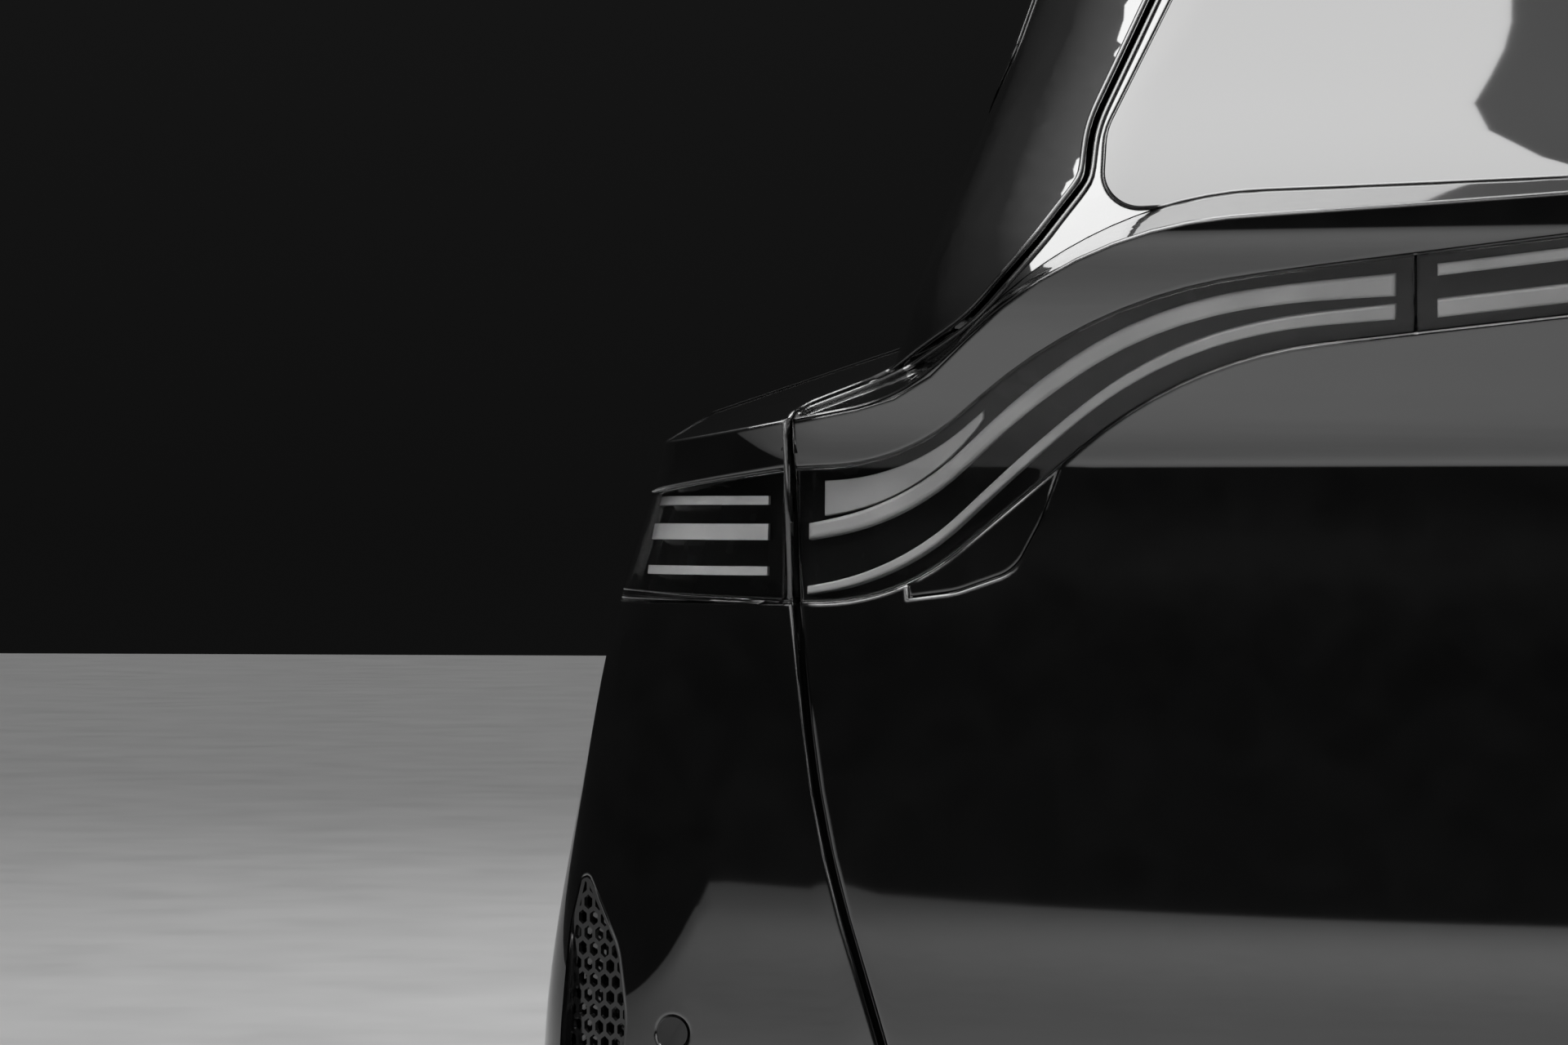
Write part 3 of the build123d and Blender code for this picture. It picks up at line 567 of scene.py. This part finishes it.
# Outlines on the tail, seen from behind
gate = arcs(both(GATE))
gate_opening = grown(gate, SHUT_GAP)
wave = arcs([*both(WAVE_UPPER), *WAVE_LOWER, *flipped(WAVE_LOWER)])
wave_fit, gate_fit = grown(wave, -FIT), grown(gate, -FIT)
covers = {"right": arcs(COVER), "left": arcs(flipped(COVER))}
plate = arcs(PLATE_RECESS)
lip = [Vector((x, top_edge(body.place(x, 450)))) for x in range(-750, 751, 25)]
below_lip = [Vector((-WAVE_REACH, -200)), Vector((WAVE_REACH, -200)), *reversed(lip)]


def box(x0, x1, z0, z1):
    return [Vector((x0, z0)), Vector((x1, z0)), Vector((x1, z1)), Vector((x0, z1))]


# Tailgate: the panel below the wave, with the plate's recess, and the lip above it
painted = region([gate, below_lip], [wave, *covers.values(), plate])
holes = [loop for loop in painted if area_of(loop) < 0]
for number, loop in enumerate(loop for loop in painted if area_of(loop) > 0):
    low = min(p.y for p in loop) < 0
    own = [loop, *holes] if low else [loop]
    name = "tailgate_skin" if low else f"lip_skin_{number}"
    skin(name, body, [on(body, part) for part in own], "body_paint", "tailgate")
for side, cover in covers.items():
    loop = region([grown(cover, -COVER_FIT)], [grown(wave, COVER_FIT)])[0]
    piece = skin(
        f"lamp_cover_{side}", body, [on(body, loop)], "body_paint", "tailgate",
        roll=COVER_ROLL, wall=COVER_WALL, back=True,
    )
    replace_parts(piece, "lamp_covers")


def line(surface, x0, z0, x1, z1, steps=16):
    """Straight line seen from behind, followed over the corner in even steps of perimeter."""
    u0, u1 = surface.place(x0, z0), surface.place(x1, z1)
    out = []
    for k in range(steps + 1):
        u = u0 + (u1 - u0) * k / steps
        z = z0 + (z1 - z0) * k / steps
        for _ in range(3):
            if abs(x1 - x0) > 1:
                z = z0 + (z1 - z0) * (abs(surface.spot(u, z).x) - abs(x0)) / (abs(x1) - abs(x0))
        out.append(Vector((u, z)))
    return out


def side_x(z, y):
    return body.plan(z)[0] + y * TAPER


# Side lamp, seen on the unrolled surface: its outer end lies at one place along the side
LAMP_END_Y, LAMP_END_TOP, LAMP_END_LOW = -330, 318, 251
inner_top, outer_top, outer_low, inner_low = (corner[:2] for corner in SIDE_LAMP)
top_x, low_x = side_x(LAMP_END_TOP, LAMP_END_Y), side_x(LAMP_END_LOW, LAMP_END_Y)


def lamp_edge_z(x, inner, outer):
    return inner[1] + (outer[1] - inner[1]) * (x - inner[0]) / (outer[0] - inner[0])


lamp_right = [
    *line(body, *inner_top, top_x, lamp_edge_z(top_x, inner_top, outer_top)),
    *line(body, low_x, lamp_edge_z(low_x, inner_low, outer_low), *inner_low),
]

# Body sides, from under the tailgate's edge to the front cut
opening = on(body, gate_opening)
skin_start = body.place(700, 300)
along_side = [skin_start + (U_END - skin_start) * k / 60 for k in range(61)]
side_right = [
    Vector((skin_start, PANEL_FOOT)), Vector((U_END, PANEL_FOOT)),
    *[Vector((u, top_edge(u, 350))) for u in reversed(along_side)],
]
for side, outline, lamp in (
    ("right", side_right, lamp_right), ("left", mirrored(side_right), mirrored(lamp_right)),
):
    loops = region([outline], [opening, grown(lamp, FIT)])
    skin(f"side_skin_{side}", body, loops, "body_paint", "body", step=(14, 14))


def circle(x, z, radius, points=32):
    turns = [2 * math.pi * k / points for k in range(points)]
    return [Vector((x + radius * math.cos(a), z + radius * math.sin(a))) for a in turns]


# Bumper cover, cut out for the vents, the sensors and the reflectors
around = [U_END * k / 8 for k in range(-8, 9)]
ring = [Vector((u, BUMPER_FOOT)) for u in around] + [Vector((u, BUMPER_TOP)) for u in reversed(around)]
cuts = []
for sign, vent in ((1, VENT), (-1, flipped(VENT))):
    x0, x1, z0, z1 = REFLECTOR_CUT
    cuts.append(on(body, arcs(vent)))
    cuts += [on(body, circle(sign * x, z, SENSOR_RADIUS)) for x, z in SENSORS]
    cuts.append(on(body, box(*sorted((sign * x0, sign * x1)), z0, z1)))
skin("bumper_skin", body, region([ring], [opening, *cuts]), "body_paint", "body", step=(14, 18))

glass = skin(
    "rear_window", cabin, [on(cabin, grown(arcs(both(GLASS)), -FIT))], "window_glass", "tailgate",
    wall=5, roll=1.5, back=True,
)
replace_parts(glass, "rear_glass")

# Lamp lenses
for sign, side, lamp in ((1, "right", lamp_right), (-1, "left", mirrored(lamp_right))):
    limits = box(*sorted((sign * SIDE_START, sign * WAVE_REACH)), *WAVE_ZONE)
    loops = [on(body, loop) for loop in region([wave_fit, gate_fit, limits])]
    piece = skin(f"wave_lens_{side}", body, loops, "lamp_lens", "tailgate", **LENS)
    corner = skin(
        f"side_lens_{side}", body, [grown(lamp, -FIT)], "lamp_lens", "body", step=(12, 12), **LENS
    )
    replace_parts(corner, "side_lamp_lenses")
    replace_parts(piece, "wave_lenses")
loops = [on(body, loop) for loop in region([wave_fit, box(-MIDDLE_HALF, MIDDLE_HALF, *WAVE_ZONE)])]
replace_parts(skin("middle_lens_skin", body, loops, "lamp_lens", "tailgate", **LENS), "middle_lens")

# Light guides: bars of changing height along the wave, rounded in front
WAVE_TOP = arcs(WAVE_UPPER, False)
WAVE_FOOT = arcs(WAVE_LOWER, False)[::-1]


def wave_height(x, share):
    """Height at a share of the way from the wave's upper edge down to its lower edge."""
    upper, lower = height_on(WAVE_TOP, abs(x)), height_on(WAVE_FOOT, abs(x))
    return upper + (lower - upper) * share


def three(t, a, b, c, middle=0.62):
    """Smooth curve through a at 0, b at the middle place and c at 1."""
    return (
        a * (t - middle) * (t - 1) / middle
        + b * t * (t - 1) / (middle * (middle - 1)) + c * t * (t - middle) / (1 - middle)
    )


def guide(name, x0, x1, highs, lows, roll):
    """Bar between two shares of the wave's height, given at its inner end, middle and outer end."""
    top, foot = [], []
    for k in range(41):
        t = k / 40
        x = x0 + (x1 - x0) * t
        top.append(Vector((x, wave_height(x, three(t, *highs)))))
        foot.append(Vector((x, wave_height(x, three(t, *lows)))))
    loop = foot + top[::-1] if x1 > x0 else top + foot[::-1]
    return skin(
        name, body, [tidy(on(body, loop, GUIDE_DEPTH))], "light_guide", "tailgate",
        wall=9.5, roll=roll, inset=GUIDE_DEPTH, step=(16, 6),
    )


GUIDE_START, GUIDE_END, MIDDLE_GUIDE_END = 341, 736, 314
for sign, side in ((1, "right"), (-1, "left")):
    ends = sign * GUIDE_START, sign * GUIDE_END
    wide = guide(f"wide_guide_{side}", *ends, (0.2, 0.21, 0.41), (0.5, 0.38, 0.53), 3.5)
    guide(f"foot_guide_{side}", *ends, (0.6, 0.67, 0.88), (0.8, 0.77, 0.94), 2.0)
    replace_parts(wide, "wave_guides")
for part, (high, low) in {"upper": (0.14, 0.3), "lower": (0.6, 0.84)}.items():
    bar = guide(
        f"middle_guide_{part}", -MIDDLE_GUIDE_END, MIDDLE_GUIDE_END, [high] * 3, [low] * 3, 2.5
    )
    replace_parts(bar, "middle_guides")

# Satin reflector in the pocket above the wide guide
POCKET_START, POCKET_LENGTH, POCKET_STEPS = 615, 110, 24
for sign, side in ((1, "right"), (-1, "left")):
    top, foot = [], []
    for k in range(POCKET_STEPS + 1):
        t = k / POCKET_STEPS
        x = sign * (POCKET_START + POCKET_LENGTH * k / POCKET_STEPS)
        top.append(Vector((x, wave_height(x, 0.1))))
        foot.append(Vector((x, wave_height(x, 0.16 + 0.2 * t**0.6))))
    skin(
        f"reflector_{side}", body, [tidy(turned_left(on(body, foot + top[::-1], POCKET_DEPTH)))],
        "light_guide", "tailgate", wall=5.2, roll=1.0, inset=POCKET_DEPTH, step=(12, 6),
    )


def bead(name, path, radius, material, rider):
    """Rolled edge: a thin round bar along a path."""
    points, normals, faces = [], [], []
    sides, across = 10, None
    for i, p in enumerate(path):
        ahead = (path[min(i + 1, len(path) - 1)] - path[max(i - 1, 0)]).normalized()
        across = ahead.orthogonal() if across is None else across - ahead * across.dot(ahead)
        across.normalize()
        up = ahead.cross(across)
        for k in range(sides):
            a = 2 * math.pi * k / sides
            n = across * math.cos(a) + up * math.sin(a)
            points.append(p + n * radius)
            normals.append(n)
    for i in range(len(path) - 1):
        for k in range(sides):
            a, b = i * sides + k, i * sides + (k + 1) % sides
            faces.append((a, b, b + sides, a + sides))
    faces += [tuple(range(sides))[::-1], tuple(range(len(points) - sides, len(points)))]
    return add_piece(name, points, normals, faces, material, rider)


def rear_y(x, z):
    """Rearmost y of the outer surface seen from behind at x, z."""
    p = cabin.spot(cabin.place(x, z), z) if z > CABIN_FOOT else Vector((0, 90, 0))
    body_z = min(z, BODY_TOP)
    low = body.spot(body.place(x, body_z), body_z).y
    if deck_height(x, low) >= z:
        return min(low, p.y)
    high = DECK_FRONT_Y
    if deck_height(x, high) < z:
        return p.y
    for _ in range(24):
        middle = (low + high) / 2
        if deck_height(x, middle) < z:
            low = middle
        else:
            high = middle
    return min(high, p.y)


EDGE_MIN_X, EDGE_LOW, EDGE_HIGH, EDGE_STEP, EDGE_GAP = 380, 340, 950, 8, 4


def edge_path(outline, sink):
    """The outline's part from the lamp to the roof, laid on the outer surface and smoothed."""
    path = []
    for a, b in zip(outline, outline[1:]):
        steps = max(1, int((b - a).length / EDGE_STEP))
        for k in range(steps):
            p = a.lerp(b, k / steps)
            if p.x > EDGE_MIN_X and EDGE_LOW < p.y < EDGE_HIGH:
                path.append(Vector((p.x, rear_y(p.x, p.y) + sink, p.y)))
    out = [path[0]]
    for p in path[1:]:
        if (p - out[-1]).length > EDGE_GAP:
            out.append(p)
    for _ in range(2):
        out = [out[0], *[(a + b * 2 + c) / 4 for a, b, c in zip(out, out[1:], out[2:])], out[-1]]
    return out


# Rolled edges of the shut line above the lamp, on the tailgate and on the body
EDGE_SHIFT = Vector((1.8, 0.9))
EDGE_SINK, EDGE_RADIUS = 1.2, 2.2
for outline, shift, name, rider in (
    (gate, -EDGE_SHIFT, "tailgate_edge", "tailgate"), (gate_opening, EDGE_SHIFT, "body_edge", "body"),
):
    upper_right = [p for p in turned_left(outline) if p.x > 0 and p.y > 150]
    shifted = edge_path([p + shift for p in upper_right], EDGE_SINK)
    for sign, side in ((1, "right"), (-1, "left")):
        path = [Vector((sign * p.x, p.y, p.z)) for p in shifted]
        bead(f"{name}_{side}", path, EDGE_RADIUS, "body_paint", rider)

# Studio: pale floor at the road's height, dark walls, bright ceiling
FLOOR_HALF, ROAD_Z = 30, -0.66
floor_mesh = bpy.data.meshes.new("floor")
floor_mesh.from_pydata(
    [(x * FLOOR_HALF, y * FLOOR_HALF, ROAD_Z) for x, y in ((-1, -1), (1, -1), (1, 1), (-1, 1))],
    [], [(0, 1, 2, 3)],
)
floor_mesh.materials.append(plain("floor_finish", 0.60, 0.64, 0.55, 1.5))
floor = bpy.data.objects.new("floor", floor_mesh)
bpy.context.scene.collection.objects.link(floor)

world = bpy.data.worlds.new("studio")
bpy.context.scene.world = world
world.use_nodes = True
sky = world.node_tree
direction = sky.nodes.new("ShaderNodeTexCoord")
parts = sky.nodes.new("ShaderNodeSeparateXYZ")
sky.links.new(direction.outputs["Generated"], parts.inputs[0])
sky.links.new(
    ramp(sky, parts.outputs["Z"], ((0.0, 0.005), (0.3, 0.012), (0.62, 0.1), (0.8, 0.45), (1.0, 0.9))),
    sky.nodes["Background"].inputs["Color"],
)


def area_light(name, place, target, size_x, size_y, power):
    data = bpy.data.lights.new(name, "AREA")
    data.shape = "RECTANGLE"
    data.size, data.size_y, data.energy = size_x, size_y, power
    obj = bpy.data.objects.new(name, data)
    bpy.context.scene.collection.objects.link(obj)
    obj.location = place
    obj.rotation_euler = (Vector(target) - Vector(place)).to_track_quat("-Z", "Y").to_euler()


area_light("top_softbox", (-1.8, -1.9, 3.6), (-1.4, -1.6, 0), 3.3, 2.5, 150)
area_light("far_softbox", (0, -19, 8.0), (0, -18.9, -0.66), 24.0, 14.0, 1900)
area_light("front_softbox", (2.5, 7.5, 5.0), (0, 0, 0.2), 5.0, 4.0, 380)

# Camera: 8 degrees off straight behind, 3.2 m from the lamp
camera_data = bpy.data.cameras.new("camera")
camera_data.lens = 109.1
camera_data.sensor_width = 36
camera_data.clip_start = 0.05
camera = bpy.data.objects.new("camera", camera_data)
bpy.context.scene.collection.objects.link(camera)
camera.location = (-0.3046, -3.7139, 0.300)
camera.rotation_euler = (math.radians(90), 0, math.radians(8))
bpy.context.scene.camera = camera
bpy.context.scene.view_settings.view_transform = "Standard"
